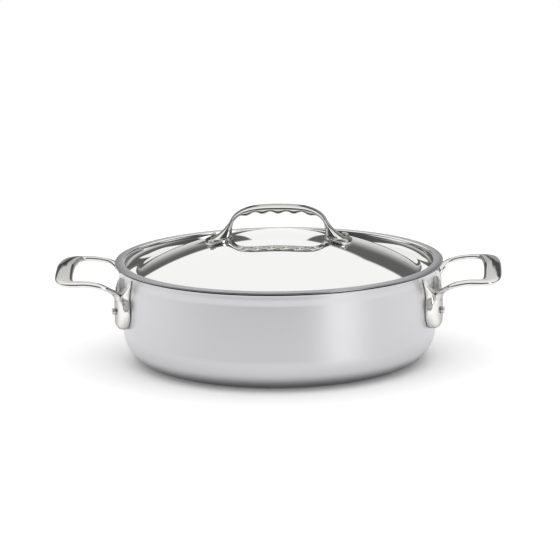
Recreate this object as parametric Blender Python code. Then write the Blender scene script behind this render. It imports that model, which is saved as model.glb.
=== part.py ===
"""Low two-handled saute pan, 28 cm, with a domed lid that sits inside its rim.

Metres, +Z up. The origin is the middle of the flat base, and +X points at the right side handle.
"""
import math

import bmesh
import bpy
from mathutils import Matrix, Vector

# Running gap left between pieces that touch
CLEARANCE = 0.0003

# Pan: one bonded sheet, turned up into a wall and out into a pouring rim
PAN_HEIGHT = 0.0924
WALL_OUTER_RADIUS = 0.1414
WALL_THICKNESS = 0.0028
BASE_CORNER_RADIUS = 0.0300
RIM_OUTER_RADIUS = 0.1484
RIM_THICKNESS = 0.0026
RIM_DROOP = 0.0003
RIM_INNER_BEND = 0.0016
RIM_UNDER_FILLET = 0.0022

# Shallow seat inside the wall that carries the lid
SEAT_HEIGHT = 0.0817
SEAT_WIDTH = 0.0009
SEAT_BLEND_HEIGHT = 0.0080

# Lid: a spherical dome, a narrow brim and a turned-down lip
LID_SHEET = 0.0012
LID_RADIAL_GAP = 0.0007
LID_DOME_RISE = 0.0314
LID_BRIM_WIDTH = 0.0118
LID_BRIM_RISE = 0.0006
LID_LIP_DEPTH = 0.0022
LID_EDGE_BEND = 0.0020

# Lid handle: one casting that bridges two riveted feet
LID_GRIP_CLEAR_HEIGHT = 0.0270
LID_GRIP_WIDTH = 0.0185
LID_GRIP_THICKNESS = 0.0062
LID_HANDLE_LENGTH = 0.1334
LID_LEG_SPAN = 0.0884
LID_LEG_THICKNESS = 0.0036
LID_FOOT_WIDTH = 0.0396
LID_FOOT_THICKNESS = 0.0024

# Scallops under every grip
SCALLOP_COUNT = 5
SCALLOP_PITCH = 0.0141
SCALLOP_DEPTH = 0.0020

# Side handles: a cast loop on two shield-shaped feet
HANDLE_REACH = 0.2008
HANDLE_WIDTH = 0.1244
HANDLE_TOP_HEIGHT = 0.0840
GRIP_WIDTH = 0.0161
GRIP_THICKNESS = 0.0056
GRIP_CROWN = 0.0046
GRIP_CROWN_HALF_LENGTH = 0.0560
GRIP_UNDERCUT = 0.0024
GRIP_GROWTH_SHARE = 0.28
ARM_WIDTH = 0.0098
ARM_THICKNESS = 0.0043
ARM_CANT = math.radians(8.0)
ARM_ROOT_HEIGHT = 0.0690
ARM_ROOT_AZIMUTH = math.radians(17.0)
FOOT_AZIMUTH = math.radians(15.0)
FOOT_BOTTOM_HEIGHT = 0.0358
FOOT_INNER_HORN_HEIGHT = 0.0780
FOOT_OUTER_HORN_HEIGHT = 0.0848
FOOT_LOBE_RADIUS = 0.0172
FOOT_WAIST_HALF_WIDTH = 0.0160
FOOT_HORN_HALF_WIDTH = 0.0252
FOOT_EDGE_THICKNESS = 0.0026
FOOT_TIP_THICKNESS = 0.0010
FOOT_CROWN_THICKNESS = 0.0093
FOOT_CROWN_RISE = 0.0060
FOOT_INNER_CROWN_FALL = 0.0125
FOOT_OUTER_CROWN_FALL = 0.0250
FOOT_WAIST_SHARE = 0.45
NOTCH_BOTTOM_HEIGHT = 0.0600
NOTCH_HALF_WIDTH = 0.0228
NOTCH_ROOT_RADIUS = 0.0016

# Centre line of half a loop: shares of the way from its root to the grip, along, across and up
ARM_PATH = [(0.0, 0.12, 0.0), (0.11, 0.53, 0.43), (0.245, 0.83, 0.745), (0.42, 0.90, 0.925),
            (0.56, 0.92, 0.99), (0.75, 1.0, 1.0), (0.880, 0.80, 1.0), (0.952, 0.22, 1.0)]
ARM_ROOT_DEPTH_SHARE = 0.105
ARM_ROOT_INSET_SHARE = 0.22

# The grip's bow: how far it falls back from its reach, at a share of half the handle's width
GRIP_BOW = [(0.0009, 0.63), (0.0002, 0.31)]

# Rivets
RIVET_SHANK_RADIUS = 0.0024
SIDE_RIVET_HEIGHT = 0.0526
SIDE_RIVET_HEAD_RADIUS = 0.0031
SIDE_RIVET_HEAD_HEIGHT = 0.0028
SIDE_RIVET_INNER_RADIUS = 0.0055
SIDE_RIVET_INNER_HEIGHT = 0.0018
LID_RIVET_X = 0.0592
LID_RIVET_Y = 0.0158
LID_RIVET_HEAD_RADIUS = 0.0030
LID_RIVET_HEAD_HEIGHT = 0.0016
LID_RIVET_INNER_RADIUS = 0.0045
LID_RIVET_INNER_HEIGHT = 0.0012

# Shapes of the blends: powers and shares without a unit
GRIP_CROWN_POWER = 1.3
HORN_SPREAD_POWER = 1.4
FOOT_CROWN_POWER = 0.4
NOTCH_FLARE = 0.2
NOTCH_START = 0.2
ROOT_WIDTH_SWELL = 0.15
ROOT_HEIGHT_SWELL = 0.5
ROOT_SWELL_RINGS = 6
GRIP_ROUNDING = 2.6
LID_ARCH_POWER = 2.7
LID_GAP_POWER = 4.0
LID_ARCH_END = math.radians(84.0)
LID_KNEE_ALONG = 0.12
LID_KNEE_DOWN = 0.55
FOOT_PLATE_POWER = 2.5
LEG_WAIST = 0.08
LEG_WAIST_END = 0.4
LEG_FLARE = 0.55
LEG_FLARE_START = 0.45
LEG_TOP_DROP = 0.3
RIVET_HEAD_SIDE = 0.7
RIVET_HEAD_FLAT = 0.72
RIVET_INNER_SIDE = 0.65
RIVET_INNER_FLAT = 0.65

# Facets
ROUND_SEGMENTS = 60
RIVET_SEGMENTS = 12
SECTION_POINTS = 12
FOOT_STEPS = 8

# Sizes that follow from the ones above
SEAT_OUTER_RADIUS = WALL_OUTER_RADIUS + SEAT_WIDTH
UPPER_BORE_RADIUS = SEAT_OUTER_RADIUS - WALL_THICKNESS
LOWER_BORE_RADIUS = WALL_OUTER_RADIUS - WALL_THICKNESS
LID_OUTER_RADIUS = UPPER_BORE_RADIUS - LID_RADIAL_GAP
LID_LIP_BOTTOM = SEAT_HEIGHT + CLEARANCE
LID_BRIM_TOP = LID_LIP_BOTTOM + LID_LIP_DEPTH
LID_CREASE_RADIUS = LID_OUTER_RADIUS - LID_BRIM_WIDTH
LID_CREASE_HEIGHT = LID_BRIM_TOP - LID_BRIM_RISE
LID_DOME_RADIUS = (LID_CREASE_RADIUS ** 2 + LID_DOME_RISE ** 2) / (2 * LID_DOME_RISE)
LID_APEX_HEIGHT = LID_CREASE_HEIGHT + LID_DOME_RISE
LID_DOME_CENTRE_HEIGHT = LID_APEX_HEIGHT - LID_DOME_RADIUS
LID_RIVET_DRILL_DEPTH = 3 * (LID_SHEET + LID_FOOT_THICKNESS)


def arc(centre, radius, start, end, steps):
    """Points on an arc in the (r, z) plane, from start to end in degrees."""
    points = []
    for step in range(steps + 1):
        angle = math.radians(start + (end - start) * step / steps)
        points.append((centre[0] + radius * math.cos(angle), centre[1] + radius * math.sin(angle)))
    return points


def smooth(value):
    """Ease from 0 to 1."""
    value = min(max(value, 0.0), 1.0)
    return value * value * (3 - 2 * value)


def quarter_round(value):
    """Rise from 0 to 1 along a quarter circle."""
    value = min(max(value, 0.0), 1.0)
    return math.sqrt(1 - (1 - value) ** 2)


def mix(a, b, share):
    return a + (b - a) * share


def signed_power(value, exponent):
    return math.copysign(abs(value) ** exponent, value)


def superellipse(reach, rise, exponent, angle):
    """A point on a superellipse; angle 0 is the top and 90 degrees the side."""
    across = reach * math.sin(angle) ** (2 / exponent)
    up = rise * math.cos(angle) ** (2 / exponent)
    return across, up


def curve_through(keys, count):
    """A smooth curve through key points, as count evenly spaced points (Catmull-Rom)."""
    keys = [Vector(key) for key in keys]
    padded = [2 * keys[0] - keys[1]] + keys + [2 * keys[-1] - keys[-2]]
    fine = []
    for i in range(1, len(padded) - 2):
        a, b, c, d = padded[i - 1:i + 3]
        for step in range(24):
            t = step / 24
            fine.append(0.5 * (2 * b + (c - a) * t + (2 * a - 5 * b + 4 * c - d) * t ** 2
                               + (3 * b - a - 3 * c + d) * t ** 3))
    fine.append(keys[-1])
    return resample(fine, count)


def resample(points, count):
    """The same polyline as count points at equal distances along it."""
    lengths = [0.0]
    for a, b in zip(points, points[1:]):
        lengths.append(lengths[-1] + (b - a).length)
    result = []
    index = 0
    for step in range(count):
        target = lengths[-1] * step / (count - 1)
        while index < len(points) - 2 and lengths[index + 1] < target:
            index += 1
        span = lengths[index + 1] - lengths[index]
        share = (target - lengths[index]) / span
        result.append(points[index].lerp(points[index + 1], min(max(share, 0.0), 1.0)))
    return result


def make_material(name, colour, roughness, metallic=1.0):
    material = bpy.data.materials.new(name)
    material.use_nodes = True
    shader = material.node_tree.nodes["Principled BSDF"]
    shader.inputs["Base Color"].default_value = (*colour, 1.0)
    shader.inputs["Roughness"].default_value = roughness
    shader.inputs["Metallic"].default_value = metallic
    return material


def add_object(name, bm, material=None):
    """Turn a bmesh into an object with faces pointing out and round parts shaded smooth."""
    bmesh.ops.recalc_face_normals(bm, faces=bm.faces)
    mesh = bpy.data.meshes.new(name)
    bm.to_mesh(mesh)
    bm.free()
    mesh.shade_smooth()
    mesh.set_sharp_from_angle(angle=math.radians(35))
    if material:
        mesh.materials.append(material)
    obj = bpy.data.objects.new(name, mesh)
    bpy.context.scene.collection.objects.link(obj)
    return obj


def revolve(profile, segments):
    """Spin a profile of (r, z) points, whose ends lie on the axis, into a closed solid."""
    bm = bmesh.new()
    verts = [bm.verts.new((r, 0.0, z)) for r, z in profile]
    edges = [bm.edges.new(pair) for pair in zip(verts, verts[1:])]
    bmesh.ops.spin(bm, geom=verts + edges, cent=(0, 0, 0), axis=(0, 0, 1), dvec=(0, 0, 0),
                   angle=2 * math.pi, steps=segments, use_merge=True, use_duplicate=False)
    bmesh.ops.remove_doubles(bm, verts=bm.verts, dist=0.000001)
    return bm


def loft(rings):
    """Skin a row of closed rings that have equal counts of points, and cap both ends."""
    bm = bmesh.new()
    loops = [[bm.verts.new(point) for point in ring] for ring in rings]
    for low, high in zip(loops, loops[1:]):
        for i in range(len(low)):
            j = (i + 1) % len(low)
            bm.faces.new((low[i], low[j], high[j], high[i]))
    bm.faces.new(loops[0])
    bm.faces.new(loops[-1])
    return bm


def prism(outline, low, high, place):
    """Extrude a closed outline of (x, y) points from low to high, then move it by a matrix."""
    bm = bmesh.new()
    face = bm.faces.new([bm.verts.new((x, y, low)) for x, y in outline])
    grown = bmesh.ops.extrude_face_region(bm, geom=[face])
    top = [item for item in grown["geom"] if isinstance(item, bmesh.types.BMVert)]
    bmesh.ops.translate(bm, verts=top, vec=(0, 0, high - low))
    bmesh.ops.transform(bm, matrix=place, verts=bm.verts)
    return bm


def helper(name, bm):
    """An object that only shapes others through a Boolean."""
    obj = add_object(name, bm)
    obj.hide_render = True
    obj.display_type = "WIRE"
    return obj


def boolean(obj, other, operation):
    modifier = obj.modifiers.new(operation.lower() + "_" + other.name, "BOOLEAN")
    modifier.operation = operation
    modifier.solver = "EXACT"
    modifier.object = other


def wall_outer_radius(height):
    """Outside radius of the wall, which swells a little where the lid's seat is formed."""
    start = SEAT_HEIGHT - SEAT_BLEND_HEIGHT / 2
    return WALL_OUTER_RADIUS + SEAT_WIDTH * smooth((height - start) / SEAT_BLEND_HEIGHT)


def swell_heights():
    """Heights of the wall's rings through the swell."""
    return [SEAT_HEIGHT + SEAT_BLEND_HEIGHT * (step / 3 - 0.5) for step in range(4)]


def dome_height(radius):
    """Height of the lid's outer face at a distance from the axis."""
    return LID_DOME_CENTRE_HEIGHT + math.sqrt(LID_DOME_RADIUS ** 2 - radius ** 2)


def pan_profile():
    corner = (WALL_OUTER_RADIUS - BASE_CORNER_RADIUS, BASE_CORNER_RADIUS)
    rim_top = PAN_HEIGHT - RIM_DROOP
    rim_underside = rim_top - RIM_THICKNESS
    edge_radius = RIM_THICKNESS / 2
    edge_centre = (RIM_OUTER_RADIUS - edge_radius, rim_underside + edge_radius)
    fillet_centre = (SEAT_OUTER_RADIUS + RIM_UNDER_FILLET, rim_underside - RIM_UNDER_FILLET)
    bend_centre = (UPPER_BORE_RADIUS + RIM_INNER_BEND, PAN_HEIGHT - RIM_INNER_BEND)
    points = [(0.0, 0.0)]
    points += arc(corner, BASE_CORNER_RADIUS, -90, 0, 6)
    points += [(wall_outer_radius(height), height) for height in swell_heights()]
    points += arc(fillet_centre, RIM_UNDER_FILLET, 180, 90, 2)
    points += arc(edge_centre, edge_radius, -90, 90, 4)
    points += arc(bend_centre, RIM_INNER_BEND, 90, 180, 3)
    points.append((UPPER_BORE_RADIUS, SEAT_HEIGHT))
    points.append((LOWER_BORE_RADIUS, SEAT_HEIGHT))
    points += arc(corner, BASE_CORNER_RADIUS - WALL_THICKNESS, 0, -90, 4)
    points.append((0.0, WALL_THICKNESS))
    return points


def dome_arc(inset, edge_radius, steps):
    """Points down the dome from the axis to edge_radius, inset from its outer face."""
    sphere = LID_DOME_RADIUS - inset
    edge = math.asin(edge_radius / sphere)
    return [(sphere * math.sin(edge * k / steps),
             LID_DOME_CENTRE_HEIGHT + sphere * math.cos(edge * k / steps)) for k in range(steps + 1)]


def lid_profile():
    bend_centre = (LID_OUTER_RADIUS - LID_EDGE_BEND, LID_BRIM_TOP - LID_EDGE_BEND)
    lip_inner = LID_OUTER_RADIUS - LID_SHEET
    inner_bend = LID_EDGE_BEND - LID_SHEET
    points = dome_arc(0.0, LID_CREASE_RADIUS, 7)
    points += arc(bend_centre, LID_EDGE_BEND, 90, 0, 3)
    points.append((LID_OUTER_RADIUS, LID_LIP_BOTTOM))
    points.append((lip_inner, LID_LIP_BOTTOM))
    points += arc(bend_centre, inner_bend, 0, 90, 1)
    points.append((LID_CREASE_RADIUS + LID_SHEET / 2, LID_CREASE_HEIGHT - LID_SHEET))
    points += reversed(dome_arc(LID_SHEET, LID_CREASE_RADIUS - LID_SHEET / 2, 6))
    return points


def dome_solid(raise_by):
    """A solid cap whose top is the dome's outer face raised by a given amount."""
    cap = dome_arc(-raise_by, LID_CREASE_RADIUS - LID_SHEET, 9)
    floor = LID_CREASE_HEIGHT - LID_DOME_RISE
    return revolve(cap + [(cap[-1][0], floor), (0.0, floor)], ROUND_SEGMENTS)


def scallop(along):
    """How far the grip's underside hangs down at a distance from its middle."""
    if abs(along) > SCALLOP_COUNT * SCALLOP_PITCH / 2:
        return 0.0
    phase = 2 * math.pi * along / SCALLOP_PITCH
    if SCALLOP_COUNT % 2 == 0:
        phase += math.pi
    return SCALLOP_DEPTH * (0.5 + 0.5 * math.cos(phase))


def section(outer, inner, half_width):
    """A rounded cross-section that spans outer to inner, and half_width to each side along Y."""
    middle = (outer + inner) / 2
    reach = (outer - inner) / 2
    ring = []
    for k in range(SECTION_POINTS):
        angle = 2 * math.pi * k / SECTION_POINTS
        up = signed_power(math.cos(angle), 2 / GRIP_ROUNDING)
        side = signed_power(math.sin(angle), 2 / GRIP_ROUNDING)
        ring.append(middle + reach * up + Vector((0, half_width * side, 0)))
    return ring


def lid_handle_outer():
    """Outer outline of one half of the lid handle, from the middle of the grip to the foot's tip."""
    leg_reach = LID_LEG_SPAN / 2 + LID_LEG_THICKNESS
    spring = LID_APEX_HEIGHT
    rise = LID_GRIP_CLEAR_HEIGHT
    points = []
    for k in range(25):
        x, z = superellipse(leg_reach, rise, LID_ARCH_POWER, LID_ARCH_END * k / 24)
        points.append(Vector((x, 0, spring + z)))
    start = points[-1]
    tip_x = LID_HANDLE_LENGTH / 2
    tip = Vector((tip_x, 0, dome_height(tip_x) + LID_FOOT_THICKNESS))
    knee = Vector((mix(start.x, tip.x, LID_KNEE_ALONG), 0, mix(start.z, tip.z, LID_KNEE_DOWN)))
    for k in range(1, 13):
        t = k / 12
        points.append(start * (1 - t) ** 2 + knee * 2 * t * (1 - t) + tip * t ** 2)
    return points


def lid_handle_inner():
    """Inner outline of one half of the lid handle, from under the grip to the leg's inner heel."""
    reach = LID_LEG_SPAN / 2
    foot = dome_height(reach) - LID_FOOT_THICKNESS
    top = LID_APEX_HEIGHT + LID_GRIP_CLEAR_HEIGHT - LID_GRIP_THICKNESS
    points = []
    for k in range(37):
        x, z = superellipse(reach, top - foot, LID_GAP_POWER, math.radians(90) * k / 36)
        points.append(Vector((x, 0, foot + z)))
    return points


def height_at(outline, x):
    """Height of an outline at a distance x from the middle."""
    for a, b in zip(outline, outline[1:]):
        if b.x >= x:
            return mix(a.z, b.z, (x - a.x) / (b.x - a.x))
    return outline[-1].z


def beyond(outline, x):
    """The stretch of an outline that lies beyond x, starting on it."""
    return [Vector((x, 0, height_at(outline, x)))] + [point for point in outline if point.x > x + 0.0001]


def lid_handle_sections():
    """Cross-sections of the lid handle from its left foot to its right foot."""
    outer = lid_handle_outer()
    inner = lid_handle_inner()
    grip_end = SCALLOP_COUNT * SCALLOP_PITCH / 2
    steps = 6 * SCALLOP_COUNT
    grip = []
    for k in range(steps + 1):
        x = mix(-grip_end, grip_end, k / steps)
        top = Vector((x, 0, height_at(outer, abs(x))))
        low = Vector((x, 0, height_at(inner, abs(x)) - scallop(x)))
        grip.append(section(top, low, LID_GRIP_WIDTH / 2))
    count = 9
    leg_outer = resample(beyond(outer, grip_end), count)
    leg_inner = resample(beyond(inner, grip_end), count)
    leg = []
    for k in range(1, count):
        share = k / (count - 1)
        flare = smooth((share - LEG_FLARE_START) / (1 - LEG_FLARE_START))
        waist = smooth(share / LEG_WAIST_END)
        half_width = LID_GRIP_WIDTH / 2 * (1 - LEG_WAIST * waist + LEG_FLARE * flare)
        low = leg_inner[k] - Vector((0, 0, LID_FOOT_THICKNESS * flare))
        high = leg_outer[k] - Vector((0, 0, LEG_TOP_DROP * LID_FOOT_THICKNESS * flare))
        leg.append(section(high, low, half_width))
    mirrored = [[Vector((-p.x, p.y, p.z)) for p in ring] for ring in reversed(leg)]
    return mirrored + grip + leg


def foot_plate(side):
    """The plan of one foot of the lid handle, as a tall prism to be trimmed by the dome."""
    reach = (LID_HANDLE_LENGTH - LID_LEG_SPAN) / 4
    centre_x = LID_LEG_SPAN / 2 + reach
    outline = []
    for k in range(28):
        angle = 2 * math.pi * k / 28
        outline.append((side * centre_x + reach * signed_power(math.cos(angle), 2 / FOOT_PLATE_POWER),
                        LID_FOOT_WIDTH / 2 * signed_power(math.sin(angle), 2 / FOOT_PLATE_POWER)))
    return prism(outline, LID_CREASE_HEIGHT, LID_APEX_HEIGHT + LID_FOOT_THICKNESS, Matrix())


def dome_frame(x, y):
    """A frame on the dome's outer face at (x, y), with Z along its normal."""
    point = Vector((x, y, dome_height(math.hypot(x, y))))
    normal = (point - Vector((0, 0, LID_DOME_CENTRE_HEIGHT))).normalized()
    return Matrix.Translation(point) @ Vector((0, 0, 1)).rotation_difference(normal).to_matrix().to_4x4()


def wall_frame(azimuth):
    """A frame on the wall's outer face at rivet height, with Z pointing outward."""
    outward = Vector((math.cos(azimuth), math.sin(azimuth), 0))
    point = outward * WALL_OUTER_RADIUS + Vector((0, 0, SIDE_RIVET_HEIGHT))
    return Matrix.Translation(point) @ outward.to_track_quat("Z", "Y").to_matrix().to_4x4()


def lid_rivet_frames():
    names = {(-1, -1): "left_front", (-1, 1): "left_rear", (1, -1): "right_front", (1, 1): "right_rear"}
    return {names[sx, sy]: dome_frame(sx * LID_RIVET_X, sy * LID_RIVET_Y) for sx, sy in names}


def side_rivet_frames():
    return {"right_front": wall_frame(-FOOT_AZIMUTH),
            "right_rear": wall_frame(FOOT_AZIMUTH),
            "left_front": wall_frame(math.pi + FOOT_AZIMUTH),
            "left_rear": wall_frame(math.pi - FOOT_AZIMUTH)}


def rivet(grip_low, grip_high, inner_radius, inner_height, head_radius, head_height):
    """A rivet along Z whose heads close on everything between grip_low and grip_high."""
    low_face = grip_low - CLEARANCE
    high_face = grip_high + CLEARANCE
    profile = [(0.0, low_face - inner_height),
               (RIVET_INNER_FLAT * inner_radius, low_face - inner_height),
               (inner_radius, low_face - (1 - RIVET_INNER_SIDE) * inner_height),
               (inner_radius, low_face),
               (RIVET_SHANK_RADIUS, low_face),
               (RIVET_SHANK_RADIUS, high_face),
               (head_radius, high_face),
               (head_radius, high_face + RIVET_HEAD_SIDE * head_height),
               (RIVET_HEAD_FLAT * head_radius, high_face + head_height),
               (0.0, high_face + head_height)]
    return revolve(profile, RIVET_SEGMENTS)


def hole_cutter(name, frames, low, high):
    """One helper that drills a rivet hole at each frame."""
    radius = RIVET_SHANK_RADIUS + CLEARANCE
    drilled = bmesh.new()
    for frame in frames:
        place = frame @ Matrix.Translation((0, 0, (low + high) / 2))
        bmesh.ops.create_cone(drilled, cap_ends=True, segments=RIVET_SEGMENTS, radius1=radius,
                              radius2=radius, depth=high - low, matrix=place)
    return helper(name, drilled)


def lobe_centre_height():
    """Height of the middle of a foot's round lower lobe."""
    return FOOT_BOTTOM_HEIGHT + FOOT_LOBE_RADIUS


def horn_height(share):
    """Height of a foot's top, from the inner horn at share -1 to the outer horn at share 1."""
    return mix(FOOT_INNER_HORN_HEIGHT, FOOT_OUTER_HORN_HEIGHT, (share + 1) / 2)


def foot_half_width(rise):
    """Half width of a foot at a share of the way from its lobe's middle to its top."""
    if rise <= 0:
        return FOOT_LOBE_RADIUS * math.sqrt(max(1 - rise ** 2, 0.0))
    if rise <= FOOT_WAIST_SHARE:
        return mix(FOOT_LOBE_RADIUS, FOOT_WAIST_HALF_WIDTH, smooth(rise / FOOT_WAIST_SHARE))
    spread = (rise - FOOT_WAIST_SHARE) / (1 - FOOT_WAIST_SHARE)
    return mix(FOOT_WAIST_HALF_WIDTH, FOOT_HORN_HALF_WIDTH, spread ** HORN_SPREAD_POWER)


def foot_thickness(share, height):
    """Thickness of a foot at a height and a share of its half width, -1 to 1 toward the outer horn."""
    fall = mix(FOOT_INNER_CROWN_FALL, FOOT_OUTER_CROWN_FALL, (share + 1) / 2)
    below = quarter_round((height - FOOT_BOTTOM_HEIGHT) / FOOT_CROWN_RISE)
    above = (horn_height(share) - height) / fall
    above = mix(quarter_round(above), smooth(above), (share + 1) / 2)
    edge = mix(FOOT_TIP_THICKNESS, FOOT_EDGE_THICKNESS, above)
    crown = mix(edge, FOOT_CROWN_THICKNESS, min(below, above))
    return edge + (crown - edge) * (1 - abs(share) ** 3) ** FOOT_CROWN_POWER


def foot_ring(azimuth, rise):
    """One cross-section of a foot, wrapped on the wall and rising toward the outer horn.

    A rise below 0 lies on the round lobe, in shares of its radius; 1 is the top of the horns.
    """
    spread = foot_half_width(rise) / WALL_OUTER_RADIUS * math.copysign(1, azimuth)
    inner, outer = [], []
    for k in range(FOOT_STEPS + 1):
        share = 2 * k / FOOT_STEPS - 1
        reach = FOOT_LOBE_RADIUS if rise <= 0 else horn_height(share) - lobe_centre_height()
        height = lobe_centre_height() + rise * reach
        angle = azimuth + spread * share
        outward = Vector((math.cos(angle), math.sin(angle), 0))
        inner_radius = wall_outer_radius(height) + CLEARANCE
        inner.append(outward * inner_radius + Vector((0, 0, height)))
        outer.append(outward * (inner_radius + foot_thickness(share, height)) + Vector((0, 0, height)))
    return inner + outer[::-1]


def side_foot(azimuth):
    """A domed shield that hugs the wall, before its notch is cut."""
    rises = [-math.cos(math.radians(a)) for a in (14, 30, 48, 68, 90)]
    rises += [math.sin(math.radians(90) * k / 7) for k in range(1, 8)]
    return loft([foot_ring(azimuth, rise) for rise in rises])


def notch_side(horn_top):
    """One flaring side of the notch, as (across, height) points from its root past a horn's tip."""
    root = NOTCH_BOTTOM_HEIGHT + NOTCH_ROOT_RADIUS
    side = []
    for k in range(7):
        share = NOTCH_START + k / 6
        flare = mix(share, share ** 5, NOTCH_FLARE)
        side.append((mix(NOTCH_ROOT_RADIUS, NOTCH_HALF_WIDTH, flare), mix(root, horn_top, share)))
    return side


def notch_cutter(azimuth):
    """A wedge with a rounded root that cuts the notch between a foot's horns."""
    root = NOTCH_BOTTOM_HEIGHT + NOTCH_ROOT_RADIUS
    sides = [notch_side(FOOT_INNER_HORN_HEIGHT), notch_side(FOOT_OUTER_HORN_HEIGHT)]
    if azimuth < 0:
        sides.reverse()
    outline = [(-across, height) for across, height in reversed(sides[0])]
    outline += arc((0.0, root), NOTCH_ROOT_RADIUS, 200, 340, 4)
    outline += sides[1]
    outward = Vector((math.cos(azimuth), math.sin(azimuth), 0))
    sideways = Vector((-outward.y, outward.x, 0))
    place = Matrix((sideways, Vector((0, 0, 1)), outward)).transposed().to_4x4()
    return prism(outline, LOWER_BORE_RADIUS * math.cos(ARM_ROOT_AZIMUTH), HANDLE_REACH, place)


def handle_path():
    """Centre line of half a side handle's loop, from the foot to the middle of the grip."""
    grip_x = HANDLE_REACH - GRIP_WIDTH / 2
    arm_y = HANDLE_WIDTH / 2 - ARM_WIDTH / 2
    grip_z = HANDLE_TOP_HEIGHT - GRIP_THICKNESS / 2
    foot_radius = WALL_OUTER_RADIUS + CLEARANCE + FOOT_CROWN_THICKNESS
    root_x = foot_radius * math.cos(ARM_ROOT_AZIMUTH)
    root_y = foot_radius * math.sin(ARM_ROOT_AZIMUTH)
    start_height = min(NOTCH_BOTTOM_HEIGHT, ARM_ROOT_HEIGHT) - ARM_THICKNESS / 2
    keys = [(mix(root_x, grip_x, -ARM_ROOT_DEPTH_SHARE), mix(root_y, arm_y, -ARM_ROOT_INSET_SHARE),
             start_height)]
    keys += [(mix(root_x, grip_x, along), mix(root_y, arm_y, across), mix(ARM_ROOT_HEIGHT, grip_z, up))
             for along, across, up in ARM_PATH]
    keys += [(grip_x - back, share * arm_y, grip_z) for back, share in GRIP_BOW]
    keys.append((grip_x, 0.0, grip_z))
    return keys


def loop_ring(point, tangent, half_width, half_height, cant, hang, crown, undercut):
    """A cross-section of the loop, square to its path and canted outward about it.

    The crown lifts it, its underside hangs down by the scallops and is undercut on the outer side.
    """
    side = tangent.cross(Vector((0, 0, 1))).normalized()
    up = side.cross(tangent).normalized()
    turn = Matrix.Rotation(-cant, 3, tangent)
    side = turn @ side
    up = turn @ up
    ring = []
    for k in range(SECTION_POINTS):
        angle = 2 * math.pi * k / SECTION_POINTS
        rise = signed_power(math.cos(angle), 2 / GRIP_ROUNDING)
        across = signed_power(math.sin(angle), 2 / GRIP_ROUNDING)
        under = max(-rise, 0.0)
        reach = half_width * across + undercut * max(-across, 0.0) * under
        ring.append(point + side * reach + up * (half_height * rise + crown - hang * under))
    return ring


def grip_crown(along):
    """How far a side grip arches up at a distance from its middle."""
    return GRIP_CROWN * max(1 - (abs(along) / GRIP_CROWN_HALF_LENGTH) ** GRIP_CROWN_POWER, 0.0)


def loop_half():
    """Cross-sections of the loop from the root on the rear foot to the middle of the grip."""
    path = curve_through(handle_path(), 32)
    grip_x = HANDLE_REACH - GRIP_WIDTH / 2
    root = path[0].x
    rings = []
    for k, point in enumerate(path):
        if k == len(path) - 1:
            tangent = Vector((0, -1, 0))
        else:
            tangent = (path[k + 1] - path[max(k - 1, 0)]).normalized()
        grown = smooth(1 - (grip_x - point.x) / (GRIP_GROWTH_SHARE * (grip_x - root)))
        swell = 1 - smooth(k / ROOT_SWELL_RINGS)
        half_width = mix(ARM_WIDTH, GRIP_WIDTH, grown) / 2 * (1 + ROOT_WIDTH_SWELL * swell)
        half_height = mix(ARM_THICKNESS, GRIP_THICKNESS, grown) / 2 * (1 + ROOT_HEIGHT_SWELL * swell)
        cant = ARM_CANT * (1 - grown)
        hang = scallop(point.y) * grown
        crown = grip_crown(point.y) * grown
        undercut = GRIP_UNDERCUT * grown
        rings.append(loop_ring(point, tangent, half_width, half_height, cant, hang, crown, undercut))
    return rings


def handle_loop():
    rings = loop_half()
    mirrored = [[Vector((p.x, -p.y, p.z)) for p in ring] for ring in reversed(rings[:-1])]
    return loft(rings + mirrored)


def build_pan(steel):
    pan = add_object("pan_body", revolve(pan_profile(), ROUND_SEGMENTS), steel)
    frames = side_rivet_frames().values()
    holes = hole_cutter("pan_rivet_holes", frames, -3 * WALL_THICKNESS, 3 * WALL_THICKNESS)
    boolean(pan, holes, "DIFFERENCE")
    return pan


def build_side_handle(side, steel):
    """One side handle; the left one is the right one turned half round."""
    turn = 0.0 if side == "right" else math.pi
    handle = add_object("side_handle_" + side, handle_loop(), steel)
    parts = []
    for row, azimuth in (("front", -FOOT_AZIMUTH), ("rear", FOOT_AZIMUTH)):
        foot = helper(f"{side}_{row}_foot", side_foot(azimuth))
        notch = helper(f"{side}_{row}_notch", notch_cutter(azimuth))
        boolean(foot, notch, "DIFFERENCE")
        boolean(handle, foot, "UNION")
        parts += [foot, notch]
    frames = [wall_frame(-FOOT_AZIMUTH), wall_frame(FOOT_AZIMUTH)]
    holes = hole_cutter(side + "_handle_rivet_holes", frames, -WALL_THICKNESS, 2 * FOOT_CROWN_THICKNESS)
    boolean(handle, holes, "DIFFERENCE")
    for obj in [handle, holes] + parts:
        obj.rotation_euler.z = turn
    return handle


def build_side_rivets(steel):
    crown = CLEARANCE + foot_thickness(0.0, SIDE_RIVET_HEIGHT)
    sag = WALL_OUTER_RADIUS - math.sqrt(WALL_OUTER_RADIUS ** 2 - SIDE_RIVET_INNER_RADIUS ** 2)
    made = []
    for place, frame in side_rivet_frames().items():
        bm = rivet(-WALL_THICKNESS - sag, crown, SIDE_RIVET_INNER_RADIUS, SIDE_RIVET_INNER_HEIGHT,
                   SIDE_RIVET_HEAD_RADIUS, SIDE_RIVET_HEAD_HEIGHT)
        obj = add_object("side_rivet_" + place, bm, steel)
        obj.matrix_world = frame
        made.append(obj)
    return made


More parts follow.
